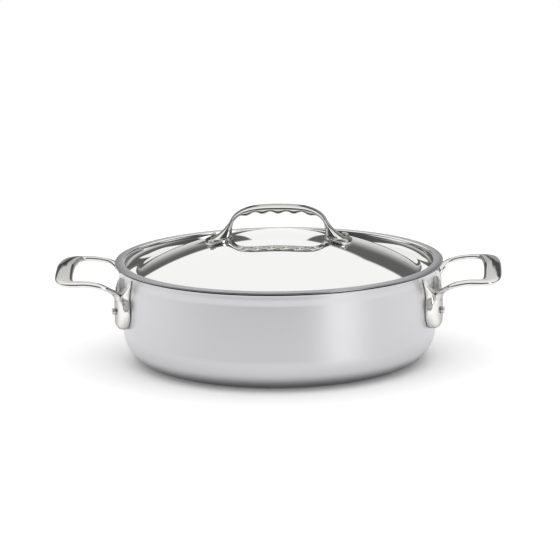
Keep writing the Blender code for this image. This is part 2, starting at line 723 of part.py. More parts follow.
def build_lid(steel, grip_steel):
    """The lid, its handle and rivets, hung from an empty on the lift axis."""
    empty = bpy.data.objects.new("lid_axis", None)
    bpy.context.scene.collection.objects.link(empty)
    frames = lid_rivet_frames()
    shell = add_object("lid_shell", revolve(lid_profile(), ROUND_SEGMENTS), steel)
    drill = LID_RIVET_DRILL_DEPTH
    boolean(shell, hole_cutter("lid_rivet_holes", frames.values(), -drill, drill), "DIFFERENCE")
    handle = add_object("lid_handle", loft(lid_handle_sections()), grip_steel)
    plate_top = helper("foot_plate_top", dome_solid(CLEARANCE + LID_FOOT_THICKNESS))
    for side, name in ((-1, "left_foot_plate"), (1, "right_foot_plate")):
        plate = helper(name, foot_plate(side))
        boolean(plate, plate_top, "INTERSECT")
        boolean(handle, plate, "UNION")
    boolean(handle, helper("dome_cutter", dome_solid(CLEARANCE)), "DIFFERENCE")
    boolean(handle, hole_cutter("handle_rivet_holes", frames.values(), -drill, drill), "DIFFERENCE")
    pieces = [shell, handle]
    for place, frame in frames.items():
        bm = rivet(-LID_SHEET, CLEARANCE + LID_FOOT_THICKNESS, LID_RIVET_INNER_RADIUS,
                   LID_RIVET_INNER_HEIGHT, LID_RIVET_HEAD_RADIUS, LID_RIVET_HEAD_HEIGHT)
        obj = add_object("lid_rivet_" + place, bm, grip_steel)
        obj.matrix_world = frame
        pieces.append(obj)
    for obj in pieces:
        obj.parent = empty
    return pieces


def main():
    for obj in list(bpy.data.objects):
        bpy.data.objects.remove(obj, do_unlink=True)
    brushed = make_material("brushed_steel", (0.62, 0.62, 0.63), 0.32)
    polished = make_material("polished_steel", (0.72, 0.72, 0.72), 0.06)
    cast = make_material("cast_steel", (0.70, 0.69, 0.68), 0.10)
    rivet_steel = make_material("rivet_steel", (0.66, 0.65, 0.63), 0.20)
    build_pan(brushed)
    build_side_handle("left", cast)
    build_side_handle("right", cast)
    build_side_rivets(rivet_steel)
    build_lid(polished, cast)


main()
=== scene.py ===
"""Finished surfaces and studio for a low two-handled saute pan with a domed lid.

Metres, +Z up, in the frame of the solid model. Each piece here stands for solids of the same
part and rides with their body: the pan with its side handles, and the lid with its handle.
"""

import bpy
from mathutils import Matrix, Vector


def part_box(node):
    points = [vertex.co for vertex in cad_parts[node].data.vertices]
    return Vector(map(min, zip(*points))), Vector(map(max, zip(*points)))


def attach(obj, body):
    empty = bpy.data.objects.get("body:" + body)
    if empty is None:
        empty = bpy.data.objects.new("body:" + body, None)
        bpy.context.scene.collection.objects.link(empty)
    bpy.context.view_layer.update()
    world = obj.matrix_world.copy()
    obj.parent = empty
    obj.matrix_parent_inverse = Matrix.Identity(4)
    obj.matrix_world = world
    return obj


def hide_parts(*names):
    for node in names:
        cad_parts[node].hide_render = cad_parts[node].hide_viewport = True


bl_info = {
    "name": "Saute Pan Finish",
    "version": (1, 0, 0),
    "blender": (4, 5, 0),
    "location": "View3D > Sidebar > Saute Pan",
    "description": "Builds the polished and brushed surfaces of a lidded saute pan and its studio",
    "category": "Object",
}

import math

import bmesh
import bpy
from mathutils import Matrix, Vector

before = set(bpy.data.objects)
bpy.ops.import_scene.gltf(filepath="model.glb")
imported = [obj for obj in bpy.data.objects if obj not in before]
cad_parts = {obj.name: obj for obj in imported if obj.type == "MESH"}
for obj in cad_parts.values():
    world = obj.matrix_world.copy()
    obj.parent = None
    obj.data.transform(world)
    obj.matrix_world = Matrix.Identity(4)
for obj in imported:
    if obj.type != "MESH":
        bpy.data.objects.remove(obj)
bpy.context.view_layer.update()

PAN_LOW, PAN_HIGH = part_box("pan_body")
LID_LOW, LID_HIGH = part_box("lid_shell")
BRIDGE_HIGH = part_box("lid_handle")[1]

DEGREES = 180 / math.pi
CLEARANCE = 0.0003  # between pieces that touch
ROUND_STEPS = 240  # round the vessel and the lid
RIVET_STEPS = 48
FLOOR_REACH = 6.0  # of the paper, to both sides and to the front
UP = Vector((0, 0, 1))


def kind_of(prop, **options):
    """A kind of property, which takes a default and a description."""
    return lambda default, description: prop(default=default, description=description, **options)


def named(cls):
    """Name a class's properties after their keys."""
    for key, prop in cls.__annotations__.items():
        prop.keywords["name"] = key.replace("_", " ").capitalize()
    return cls


length = kind_of(bpy.props.FloatProperty, min=0.0, precision=5, subtype="DISTANCE", unit="LENGTH")
angle = kind_of(bpy.props.FloatProperty, subtype="ANGLE", unit="ROTATION")
share = kind_of(bpy.props.FloatProperty, min=0.0, max=1.0, precision=3, subtype="FACTOR")
strength = kind_of(bpy.props.FloatProperty, min=0.0)
colour = kind_of(bpy.props.FloatVectorProperty, size=3, min=0.0, max=1.0, subtype="COLOR")
count = kind_of(bpy.props.IntProperty, min=0)


@named
class PanSizes(bpy.types.PropertyGroup):
    """Sizes of the vessel that its box doesn't give."""
    wall_radius: length(0.1414, "Outside radius of the upright wall")
    wall_thickness: length(0.0028, "Thickness of the bonded sheet")
    corner_radius: length(0.0300, "Outside radius between base and wall")
    rim_thickness: length(0.0026, "Thickness of the flat pouring rim")
    rim_droop: length(0.0003, "How far the rim's outer edge lies below its inner bend")
    rim_bend: length(0.0016, "Radius of the bend from the bore into the rim")
    rim_fillet: length(0.0022, "Radius under the rim")
    seat_height: length(0.0817, "Height of the step that carries the lid")
    seat_width: length(0.0009, "Width of the step that carries the lid")
    seat_blend: length(0.0080, "Height over which the wall swells for the seat")


@named
class LidSizes(bpy.types.PropertyGroup):
    """Sizes of the lid that its box doesn't give."""
    sheet: length(0.0012, "Thickness of the lid's sheet")
    dome_rise: length(0.0314, "Height of the dome above its crease")
    brim_width: length(0.0118, "Width of the flat brim")
    brim_rise: length(0.0006, "How far the brim's edge stands above the crease")
    lip_depth: length(0.0022, "Depth of the turned-down lip")
    edge_bend: length(0.0020, "Radius of the bend from brim to lip")


@named
class BridgeSizes(bpy.types.PropertyGroup):
    """Sizes of the lid's bridge handle."""
    clear_height: length(0.0270, "Height of the grip's top above the dome's apex")
    grip_width: length(0.0185, "Width of the grip")
    grip_thickness: length(0.0062, "Thickness of the grip")
    leg_span: length(0.0842, "Clear distance between the legs")
    leg_thickness: length(0.0040, "Thickness of a leg at its top")
    foot_thickness: length(0.0024, "Thickness of the feet on the dome")
    scallop_pitch: length(0.0141, "Distance from one finger scallop to the next")
    scallop_depth: length(0.0020, "Depth of the finger scallops")
    scallop_count: count(5, "Number of bumps under each grip")


@named
class LoopSizes(bpy.types.PropertyGroup):
    """Sizes of the cast side handles."""
    reach: length(0.2008, "Distance of a grip's outer edge from the pan's axis")
    width: length(0.1244, "Width of a handle over its arms")
    top_height: length(0.0840, "Height of the arms' top where they meet the grip")
    grip_width: length(0.0161, "Width of the grip")
    grip_thickness: length(0.0056, "Thickness of the grip")
    grip_crown: length(0.0046, "How far the grip arches up in its middle")
    crown_reach: length(0.0560, "Half length of the grip's arch")
    undercut: length(0.0024, "How far the grip's outer side slopes in below")
    arm_width: length(0.0098, "Width of the arms")
    arm_thickness: length(0.0043, "Thickness of the arms")
    arm_cant: angle(math.radians(8.0), "Outward lean of the arms")
    root_height: length(0.0690, "Height where an arm leaves its foot")
    root_azimuth: angle(math.radians(17.0), "Direction of an arm's root, from the pan's axis")
    foot_azimuth: angle(math.radians(15.0), "Direction of a foot's middle, from the pan's axis")
    foot_bottom: length(0.0358, "Height of the feet's lowest point")
    inner_horn: length(0.0780, "Height of a foot's horn toward the handle's middle")
    outer_horn: length(0.0848, "Height of a foot's horn away from the handle's middle")
    lobe_radius: length(0.0172, "Radius of a foot's round lower end")
    waist: length(0.0160, "Half width of a foot at its waist")
    horn_reach: length(0.0252, "Half width of a foot over its two horns")
    edge_thickness: length(0.0026, "Thickness of a foot at its edge")
    tip_thickness: length(0.0010, "Thickness of the horns at their tips")
    crown_thickness: length(0.0093, "Thickness of a foot at its middle")
    crown_rise: length(0.0060, "Height over which the crown grows from the bottom")
    inner_fall: length(0.0125, "Height over which the crown fades on the inner horn")
    outer_fall: length(0.0250, "Height over which the crown fades on the outer horn")
    notch_bottom: length(0.0600, "Height of the notch's root")
    notch_reach: length(0.0228, "Half width of the notch between the horn tips")
    notch_root: length(0.0016, "Radius of the notch's root")


@named
class RivetSizes(bpy.types.PropertyGroup):
    """Sizes and places of the rivets."""
    shank_radius: length(0.0024, "Radius of every rivet's shank")
    side_height: length(0.0526, "Height of the side rivets")
    side_head_radius: length(0.0031, "Radius of the heads outside the pan")
    side_head_height: length(0.0028, "Height of the heads outside the pan")
    side_inner_radius: length(0.0055, "Radius of the heads inside the pan")
    side_inner_height: length(0.0018, "Height of the heads inside the pan")
    lid_x: length(0.0592, "Distance of the lid's rivets from the YZ plane")
    lid_y: length(0.0158, "Distance of the lid's rivets from the XZ plane")
    lid_head_radius: length(0.0030, "Radius of the heads on the lid")
    lid_head_height: length(0.0016, "Height of the heads on the lid")
    lid_inner_radius: length(0.0045, "Radius of the heads under the lid")
    lid_inner_height: length(0.0012, "Height of the heads under the lid")


@named
class SteelFinish(bpy.types.PropertyGroup):
    """Colours and gloss of the steels."""
    brushed: colour((0.675, 0.675, 0.69), "Colour of the brushed wall")
    # Painted shade: the rim is the wall's own steel, coloured darker to show it shaded.
    rim: colour((0.40, 0.40, 0.415), "Colour of the brushed rim")
    # Painted shade: the rim's lower edge gets a near-black colour for the dark line under the rim.
    crease: colour((0.02, 0.02, 0.022), "Colour of the dull lower edge of the rim")
    polished: colour((0.90, 0.90, 0.885), "Colour of the mirror polished sheet")
    cast: colour((0.85, 0.84, 0.815), "Colour of the polished castings")
    brushed_gloss: share(0.38, "Roughness of the brushed wall")
    polished_gloss: share(0.035, "Roughness of the polished sheet")
    cast_gloss: share(0.06, "Roughness of the polished castings")
    cast_edge: share(0.48, "How bright the castings are where they are seen at a slant")


@named
class StageSetting(bpy.types.PropertyGroup):
    """Camera and studio."""
    lens: kind_of(bpy.props.FloatProperty, subtype="DISTANCE_CAMERA")(208.8, "Focal length")
    distance: length(2.9483, "Distance of the camera from the point that it looks at")
    look_height: length(0.04122, "Height of the point that the camera looks at")
    elevation: angle(math.radians(12.65), "Height of the camera above the horizon")
    azimuth: angle(math.radians(1.8), "Turn of the camera toward the right handle")
    roll: angle(math.radians(0.65), "Roll of the camera, right side up")
    image_x: share(0.4991, "Where the looked-at point falls across the picture")
    image_y: share(0.5596, "Where the looked-at point falls down the picture")
    floor: colour((0.93, 0.93, 0.93), "Colour of the paper floor")
    floor_depth: length(1.15, "How far the floor reaches behind the pan")
    floor_lift: share(0.08, "Light added to the floor in the picture")
    pool: share(0.32, "Extra light that metal sees on the floor at the right front")
    lamp_low: strength(0.30, "Strength of the even light near the horizon")
    lamp_high: strength(1.40, "Strength of the even light overhead")
    lamp_front: strength(2.2, "Strength of the low light in front of the pan")


def arc(centre, radius, start, end, steps):
    """Points on an arc in the (r, z) plane, from start to end in degrees."""
    turn = [math.radians(start + (end - start) * step / steps) for step in range(steps + 1)]
    return [(centre[0] + radius * math.cos(a), centre[1] + radius * math.sin(a)) for a in turn]


def ease(value):
    """Ease from 0 to 1."""
    value = min(max(value, 0.0), 1.0)
    return value * value * (3 - 2 * value)


def quarter_round(value):
    """Rise from 0 to 1 along a quarter circle."""
    value = min(max(value, 0.0), 1.0)
    return math.sqrt(1 - (1 - value) ** 2)


def mix(a, b, part):
    """The value a part of the way from a to b."""
    return a + (b - a) * part


def signed_power(value, exponent):
    """A power that keeps the sign, for superellipses."""
    return math.copysign(abs(value) ** exponent, value)


def bow(start, knee, end, part):
    """A point on the curve that leaves start toward knee and comes from it into end."""
    return start * (1 - part) ** 2 + knee * 2 * part * (1 - part) + end * part ** 2


def settings():
    """The scene's settings of this add-on."""
    return bpy.context.scene.saute_pan


def spin_profile(points, steps):
    """Spin (r, z) points, whose ends lie on the axis, into a closed shell."""
    bm = bmesh.new()
    verts = [bm.verts.new((r, 0.0, z)) for r, z in points]
    edges = [bm.edges.new(pair) for pair in zip(verts, verts[1:])]
    bmesh.ops.spin(bm, geom=verts + edges, cent=(0, 0, 0), axis=(0, 0, 1), dvec=(0, 0, 0),
                   angle=2 * math.pi, steps=steps, use_merge=True, use_duplicate=False)
    bmesh.ops.remove_doubles(bm, verts=bm.verts, dist=0.000001)
    return bm


def sweep(sections, points, exponent):
    """Bridge a row of flattened rings.

    A section has a middle, side and up half axes, a sag of its underside and a tuck of its outer
    side below.
    """
    bm = bmesh.new()
    rings = []
    for middle, side, up, sag, tuck in sections:
        made = bmesh.ops.create_circle(bm, cap_ends=False, segments=points, radius=1.0)["verts"]
        for vert in made:
            across = signed_power(vert.co.x, exponent)
            rise = signed_power(vert.co.y, exponent)
            under = max(-rise, 0.0)
            vert.co = (middle + side * across + up * rise - sag * under
                       + tuck * max(-across, 0.0) * under)
        rings.append(list({edge for vert in made for edge in vert.link_edges}))
    for low, high in zip(rings, rings[1:]):
        bmesh.ops.bridge_loops(bm, edges=low + high)
    for ring in (rings[0], rings[-1]):
        bmesh.ops.holes_fill(bm, edges=ring, sides=points)
    return bm


def extrude(bm):
    """Extrude every face of a flat sheet and give the vertices of its moved side."""
    grown = bmesh.ops.extrude_face_region(bm, geom=bm.faces[:])
    return [item for item in grown["geom"] if isinstance(item, bmesh.types.BMVert)]


def add_object(name, data):
    """A new object in the scene."""
    obj = bpy.data.objects.new(name, data)
    bpy.context.scene.collection.objects.link(obj)
    return obj


def to_object(name, bm, *materials):
    """A bmesh as a smooth-shaded object that faces out, with its materials."""
    bmesh.ops.recalc_face_normals(bm, faces=bm.faces)
    mesh = bpy.data.meshes.new(name)
    bm.to_mesh(mesh)
    bm.free()
    mesh.shade_smooth()
    for material in materials:
        mesh.materials.append(material)
    return add_object(name, mesh)


def cut(obj, bm, operation):
    """Combine an object with the shape in bm by an exact Boolean."""
    other = to_object("cutter", bm)
    modifier = obj.modifiers.new("combine", "BOOLEAN")
    modifier.operation = operation
    modifier.solver = "EXACT"
    modifier.object = other
    apply_modifiers(obj)
    bpy.data.objects.remove(other)


def apply_modifiers(obj):
    """Bake an object's modifiers into its mesh."""
    shown = obj.evaluated_get(bpy.context.evaluated_depsgraph_get())
    mesh = bpy.data.meshes.new_from_object(shown)
    materials = list(obj.data.materials)
    obj.modifiers.clear()
    obj.data = mesh
    obj.data.materials.clear()
    for material in materials:
        obj.data.materials.append(material)


def cast_skin(obj, grain, rounds):
    """Fuse overlapping solids into one skin with soft fillets, as a casting has."""
    fuse = obj.modifiers.new("fuse", "REMESH")
    fuse.mode = "VOXEL"
    fuse.voxel_size = grain
    soften = obj.modifiers.new("soften", "SMOOTH")
    soften.factor = 0.5
    soften.iterations = rounds
    apply_modifiers(obj)
    obj.data.shade_smooth()


def stand_for(obj, body, slot, *nodes):
    """Let a finished piece ride on its body in place of its solids."""
    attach(obj, body)
    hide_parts(*nodes)


class Signal:
    """A value in a node tree that adds and multiplies as plain numbers do."""

    def __init__(self, node, output=0):
        self.socket = node.outputs[output]
        self.tree = node.id_data

    def math(self, operation, *others):
        """A Math node on this value and others."""
        node = self.tree.nodes.new("ShaderNodeMath")
        node.operation = operation
        for socket, value in zip(node.inputs, (self, *others)):
            plug(value, socket)
        return Signal(node)

    def __add__(self, other):
        return self.math("ADD", other)

    def __sub__(self, other):
        return self.math("SUBTRACT", other)

    def __rsub__(self, other):
        return self * -1.0 + other

    def __mul__(self, other):
        return self.math("MULTIPLY", other)

    __radd__, __rmul__ = __add__, __mul__


def plug(value, socket):
    """Link a signal to a socket, or set a plain value there."""
    if isinstance(value, Signal):
        value.tree.links.new(value.socket, socket)
    else:
        socket.default_value = value


def fill(node, **inputs):
    """Fill a node's inputs; an underscore in a key stands for a blank."""
    for key, value in inputs.items():
        plug(value, node.inputs[key.replace("_", " ")])
    return node


def node_on(tree, kind, **inputs):
    """A new node with some of its inputs filled."""
    return fill(tree.nodes.new(kind), **inputs)


def ramp(value, low, high, to_low, to_high):
    """A smooth change from to_low to to_high while a value goes from low to high."""
    node = node_on(value.tree, "ShaderNodeMapRange", Value=value, From_Min=low, From_Max=high,
                   To_Min=to_low, To_Max=to_high)
    node.interpolation_type = "SMOOTHSTEP"
    return Signal(node)


def between(value, low, high, blur):
    """1 where a value lies between two edges and 0 outside, over a blur."""
    return ramp(value - low, -blur, blur, 0.0, 1.0) * ramp(high - value, -blur, blur, 0.0, 1.0)


def blend(dark, light, part):
    """The value a part of the way from dark to light."""
    return dark * (1.0 - part) + light * part


def noise(point, scale, detail):
    """A noise value over a vector."""
    node = node_on(point.tree, "ShaderNodeTexNoise", Vector=point, Scale=scale, Detail=detail)
    return Signal(node)


def coordinates(tree, kind="Object"):
    """Texture coordinates of a kind, whole and split into axes."""
    source = Signal(tree.nodes.new("ShaderNodeTexCoord"), kind)
    split = node_on(tree, "ShaderNodeSeparateXYZ", Vector=source)
    return source, [Signal(split, axis) for axis in "XYZ"]


def turned_coordinates(tree, around, across):
    """Coordinates that change fast along a lathe profile and slowly round it."""
    _, (x, y, z) = coordinates(tree)
    radius = (x * x + y * y).math("SQRT")
    join = node_on(tree, "ShaderNodeCombineXYZ", X=x * around, Y=y * around, Z=(radius + z) * across)
    return Signal(join)


def bump(height, depth, distance):
    """A normal that a height tilts."""
    node = node_on(height.tree, "ShaderNodeBump", Height=height, Strength=depth, Distance=distance)
    return Signal(node)


def shade(base, tone):
    """A colour scaled by a tone that changes over the surface."""
    node = tone.tree.nodes.new("ShaderNodeVectorMath")
    node.operation = "SCALE"
    return Signal(fill(node, Vector=base, Scale=tone))


def brushed(tree, base, roughness):
    """Satin steel with fine turned brush lines, and painted shade where the wall turns under to the
    base.
    """
    tangent = tree.nodes.new("ShaderNodeTangent")
    tangent.direction_type = "RADIAL"
    tangent.axis = "Z"
    fine = noise(turned_coordinates(tree, 14.0, 5200.0), 1.0, 3.0)
    broad = noise(turned_coordinates(tree, 9.0, 620.0), 1.0, 2.0)
    lines = fine * 0.6 + broad * 0.4
    _, (_, _, height) = coordinates(tree)
    return dict(Anisotropic=0.6, Anisotropic_Rotation=0.25, Tangent=Signal(tangent),
                Roughness=ramp(lines, 0.25, 0.75, roughness - 0.02, roughness + 0.02),
                Normal=bump(lines, 0.05, 0.00003),
                Base_Color=shade(base, ramp(height, *FOOT_SHADE_HEIGHTS, FOOT_SHADE_TONE, 1.0)))


def polished(tree, base, roughness):
    """Mirror steel with faint turned polishing lines and a trace of haze."""
    lines = noise(turned_coordinates(tree, 10.0, 2600.0), 1.0, 2.0)
    haze = noise(coordinates(tree)[0], 34.0, 3.0)
    return dict(Roughness=ramp(lines * 0.5 + haze * 0.5, 0.3, 0.7, 0.6 * roughness, 1.5 * roughness),
                Normal=bump(lines, 0.02, 0.00001))


def cast(tree, base, roughness):
    """Polished casting: a mirror a little uneven from hand buffing, with painted shade in its
    hollows.
    """
    edge = settings().steel.cast_edge
    point, _ = coordinates(tree)
    buffed = noise(point, 160.0, 2.0)
    grain = noise(point, 2400.0, 2.0)
    form = Signal(tree.nodes.new("ShaderNodeNewGeometry"), "Pointiness")
    return dict(Specular_Tint=(edge, edge, edge, 1.0),
                Roughness=ramp(buffed, 0.3, 0.7, 0.7 * roughness, 1.6 * roughness),
                Normal=bump(buffed * 0.8 + grain * 0.2, 0.05, 0.00008),
                Base_Color=shade(base, ramp(form, *HOLLOW_SHADE_FORMS, HOLLOW_SHADE_TONE, 1.0)))


# Painted shade: the brushed steels darken towards the bottom, where the wall turns into the base.
FOOT_SHADE_HEIGHTS, FOOT_SHADE_TONE = (0.003, 0.017), 0.28  # of the turn into the base
# Painted shade: the castings darken where their surface is hollow, read from pointiness.
HOLLOW_SHADE_FORMS, HOLLOW_SHADE_TONE = (0.470, 0.498), 0.20  # of the castings' hollows
STEELS = {  # finish, colour, gloss, and how much duller than that gloss
    "wall_brushed_steel": (brushed, "brushed", "brushed_gloss", 1.0),
    "rim_shaded_brushed_steel": (brushed, "rim", "brushed_gloss", 0.8),
    "inside_steel": (polished, "polished", "polished_gloss", 2.0),
    "base_brushed_steel": (brushed, "brushed", "brushed_gloss", 1.3),
    "rim_edge_shade_steel": (brushed, "crease", "brushed_gloss", 1.5),
    "mirror_steel": (polished, "polished", "polished_gloss", 1.0),
    "cast_mirror_steel": (cast, "cast", "cast_gloss", 1.0),
}
PAN_STEELS = list(STEELS)[:5]
RIM, INSIDE, BASE, EDGE_SHADE = range(1, 5)  # their slots; the wall's is 0


def material_of(kind):
    """The steel of one kind, made once."""
    if kind in bpy.data.materials:
        return bpy.data.materials[kind]
    finish, tint, gloss, duller = STEELS[kind]
    steel = settings().steel
    base, roughness = getattr(steel, tint), duller * getattr(steel, gloss)
    material = bpy.data.materials.new(kind)
    material.use_nodes = True
    shader = material.node_tree.nodes["Principled BSDF"]
    fill(shader, Base_Color=(*base, 1.0), Roughness=roughness, Metallic=1.0)
    fill(shader, **finish(material.node_tree, base, roughness))
    return material


def wall_radius_at(height):
    """Outside radius of the wall, which swells a little where the lid's seat is formed."""
    pan = settings().pan
    start = pan.seat_height - pan.seat_blend / 2
    return pan.wall_radius + pan.seat_width * ease((height - start) / pan.seat_blend)


def pan_profile():
    """The vessel's section, from its base up the outside and down the inside."""
    pan = settings().pan
    height, rim_radius = PAN_HIGH.z, PAN_HIGH.x
    corner = (pan.wall_radius - pan.corner_radius, pan.corner_radius)
    bore = pan.wall_radius - pan.wall_thickness
    seat_bore = bore + pan.seat_width
    underside = height - pan.rim_droop - pan.rim_thickness
    edge = pan.rim_thickness / 2
    points = [(0.0, 0.0)]
    points += arc(corner, pan.corner_radius, -90, 0, 28)
    swell = [pan.seat_height + pan.seat_blend * (k / 10 - 0.5) for k in range(11)]
    points += [(wall_radius_at(z), z) for z in swell]
    points += arc((seat_bore + pan.wall_thickness + pan.rim_fillet, underside - pan.rim_fillet),
                  pan.rim_fillet, 180, 90, 8)
    points += arc((rim_radius - edge, underside + edge), edge, -90, 90, 12)
    points += arc((seat_bore + pan.rim_bend, height - pan.rim_bend), pan.rim_bend, 90, 180, 8)
    points += [(seat_bore, pan.seat_height), (bore, pan.seat_height)]
    points += arc(corner, pan.corner_radius - pan.wall_thickness, 0, -90, 24)
    points.append((0.0, pan.wall_thickness))
    return points


def paint_pan(obj):
    """Give each zone of the vessel its own steel by where its faces lie."""
    pan = settings().pan
    bore = pan.wall_radius - pan.wall_thickness
    under_rim = PAN_HIGH.z - pan.rim_droop - pan.rim_thickness
    for face in obj.data.polygons:
        height, normal = face.center.z, face.normal
        middle = Vector((face.center.x, face.center.y, 0))
        outward = normal.dot(middle.normalized()) if middle.length > 0.001 else 0.0
        inside = middle.length < bore + pan.seat_width + 0.6 * pan.rim_bend
        if normal.z > 0.5 and not inside:
            face.material_index = RIM
        elif middle.length > pan.wall_radius + pan.seat_width and height > under_rim - 0.0001:
            # Painted shade: a band along the rim's lower edge gets the near-black steel.
            shaded_low_edge = under_rim + 0.0001 < height < under_rim + 0.48 * pan.rim_thickness
            face.material_index = EDGE_SHADE if shaded_low_edge else RIM
        elif outward < -0.1 or (normal.z > 0.0 and inside):
            face.material_index = INSIDE
        elif normal.z < -0.98 and height < 0.001:
            face.material_index = BASE


class PANFINISH_OT_vessel(bpy.types.Operator):
    """Spin the pan's vessel and give its zones their steels"""
    bl_idname = "panfinish.vessel"
    bl_label = "Pan Vessel"

    def execute(self, context):
        vessel = to_object("pan_vessel", spin_profile(pan_profile(), ROUND_STEPS),
                           *(material_of(kind) for kind in PAN_STEELS))
        paint_pan(vessel)
        stand_for(vessel, "pan", "brushed_steel", "pan_body")
        return {"FINISHED"}


CREASE_BLEND = 0.0030  # from the crease, over which the dome runs into the brim


def dome_sphere():
    """Radius and centre height of the lid's dome, and the radius of its crease."""
    lid = settings().lid
    crease = LID_HIGH.x - lid.brim_width
    radius = (crease ** 2 + lid.dome_rise ** 2) / (2 * lid.dome_rise)
    return radius, LID_HIGH.z - radius, crease


def dome_height(distance):
    """Height of the lid's outer face at a distance from the axis."""
    radius, centre, _ = dome_sphere()
    return centre + math.sqrt(radius ** 2 - distance ** 2)


def dome_arc(inset, edge_radius, steps):
    """Points down the dome from the axis to edge_radius, inset from its outer face."""
    radius, centre, _ = dome_sphere()
    sphere = radius - inset
    edge = math.asin(edge_radius / sphere)
    return [(sphere * math.sin(edge * k / steps), centre + sphere * math.cos(edge * k / steps))
            for k in range(steps + 1)]


def lid_profile():
    """The lid's section, down the outside, round the lip and back underneath."""
    lid = settings().lid
    _, _, crease = dome_sphere()
    edge, bottom = LID_HIGH.x, LID_LOW.z
    brim_top = bottom + lid.lip_depth
    bend = (edge - lid.edge_bend, brim_top - lid.edge_bend)
    crease_height = brim_top - lid.brim_rise
    points = dome_arc(0.0, crease - CREASE_BLEND, 40)
    near, middle = Vector(points[-1]), Vector((crease, crease_height))
    far = Vector((crease + CREASE_BLEND,
                  mix(crease_height, brim_top, CREASE_BLEND / lid.brim_width)))
    points += [tuple(bow(near, middle, far, k / 8)) for k in range(1, 9)]
    points += arc(bend, lid.edge_bend, 90, 0, 8)
    points += [(edge, bottom), (edge - lid.sheet, bottom)]
    points += arc(bend, lid.edge_bend - lid.sheet, 0, 90, 4)
    points.append((crease + lid.sheet / 2, crease_height - lid.sheet))
    points += reversed(dome_arc(lid.sheet, crease - lid.sheet / 2, 30))
    return points


class PANFINISH_OT_lid(bpy.types.Operator):
    """Spin the mirror polished lid"""
    bl_idname = "panfinish.lid"
    bl_label = "Lid"

    def execute(self, context):
        lid = to_object("lid_dome", spin_profile(lid_profile(), ROUND_STEPS),
                        material_of("mirror_steel"))
        stand_for(lid, "lid", "polished_steel", "lid_shell")
        return {"FINISHED"}


def scallop(along):
    """How far a grip's underside hangs down at a distance from its middle."""
    bridge = settings().bridge
    if abs(along) > bridge.scallop_count * bridge.scallop_pitch / 2:
        return 0.0
    phase = 2 * math.pi * along / bridge.scallop_pitch
    if bridge.scallop_count % 2 == 0:
        phase += math.pi
    return bridge.scallop_depth * (0.5 + 0.5 * math.cos(phase))


# How square the bridge handle's grip and the arch under it are, where the outer outline leaves
# the grip for the leg, how it bends there, and how the legs widen into the feet.
GRIP_POWER, ARCH_POWER = 2.7, 4.0
LEG_TURN, LEG_KNEE = math.radians(66), (0.28, 0.70)
LEG_STEPS, LEG_WAIST, FLARE_START, FLARE_WIDTH = 40, 0.08, 0.45, 0.55
SCALLOP_HANG = 1.8  # how much deeper the scallops hang along the front edge than in the middle


def superellipse(reach, rise, exponent, turn):
    """A point on a superellipse; turn 0 is the top and a quarter turn the side."""
    power = 2 / exponent
    return Vector((reach * math.sin(turn) ** power, 0, rise * math.cos(turn) ** power))


def bridge_outer():
    """Outer outline of half the bridge handle, from the grip's middle to the foot's tip."""
    bridge = settings().bridge
    reach = bridge.leg_span / 2 + bridge.leg_thickness
    points = [UP * LID_HIGH.z
              + superellipse(reach, bridge.clear_height, GRIP_POWER, LEG_TURN * k / 48)
              for k in range(49)]
    start = points[-1]
    tip = Vector((BRIDGE_HIGH.x, 0, dome_height(BRIDGE_HIGH.x) + bridge.foot_thickness))
    knee = Vector((mix(start.x, tip.x, LEG_KNEE[0]), 0, mix(start.z, tip.z, LEG_KNEE[1])))
    return points + [bow(start, knee, tip, k / 24) for k in range(1, 25)]


def bridge_inner():
    """Inner outline of half the bridge handle, from under the grip to the leg's inner heel."""
    bridge = settings().bridge
    reach = bridge.leg_span / 2
    foot = dome_height(reach) - bridge.foot_thickness
    top = LID_HIGH.z + bridge.clear_height - bridge.grip_thickness
    return [UP * foot + superellipse(reach, top - foot, ARCH_POWER, math.pi / 2 * k / 72)
            for k in range(73)]


def height_at(outline, x):
    """Height of an outline at a distance x from the middle."""
    for a, b in zip(outline, outline[1:]):
        if b.x >= x:
            return mix(a.z, b.z, (x - a.x) / (b.x - a.x))
    return outline[-1].z


def beyond(outline, x):
    """The stretch of an outline that lies beyond x, starting on it."""
    return [Vector((x, 0, height_at(outline, x)))] + [p for p in outline if p.x > x + 0.0001]


def resample(points, count):
    """The same polyline as count evenly spaced points."""
    lengths = [0.0]
    for a, b in zip(points, points[1:]):
        lengths.append(lengths[-1] + (b - a).length)
    result = []
    index = 0
    for step in range(count):
        target = lengths[-1] * step / (count - 1)
        while index < len(points) - 2 and lengths[index + 1] < target:
            index += 1
        span = lengths[index + 1] - lengths[index]
        part = (target - lengths[index]) / span
        result.append(points[index].lerp(points[index + 1], min(max(part, 0.0), 1.0)))
    return result


def bridge_sections():
    """The bridge handle's sections for sweep, from left foot to right foot."""
    bridge = settings().bridge
    outer, inner = bridge_outer(), bridge_inner()
    grip_end = bridge.scallop_count * bridge.scallop_pitch / 2
    steps = 16 * bridge.scallop_count
    half = bridge.grip_width / 2
    spans = []
    for k in range(steps + 1):
        x = mix(-grip_end, grip_end, k / steps)
        high, low = (Vector((x, 0, height_at(outline, abs(x)))) for outline in (outer, inner))
        spans.append((high, low, half))
    leg = []
    outlines = (resample(beyond(outline, grip_end), LEG_STEPS) for outline in (outer, inner))
    for k, (high, low) in enumerate(zip(*outlines)):
        part = k / (LEG_STEPS - 1)
        flare = ease((part - FLARE_START) / (1 - FLARE_START))
        drop = UP * (bridge.foot_thickness * flare)
        width = half * (1 - LEG_WAIST * ease(part / 0.4) + FLARE_WIDTH * flare)
        if k:
            leg.append((high - 0.3 * drop, low - drop, width))
    flip = Vector((-1, 1, 1))
    spans = [(high * flip, low * flip, width) for high, low, width in reversed(leg)] + spans + leg
    return [((high + low) / 2, Vector((0, width, 0)), (high - low) / 2, Vector(),
             UP * (-SCALLOP_HANG * scallop(high.x))) for high, low, width in spans]


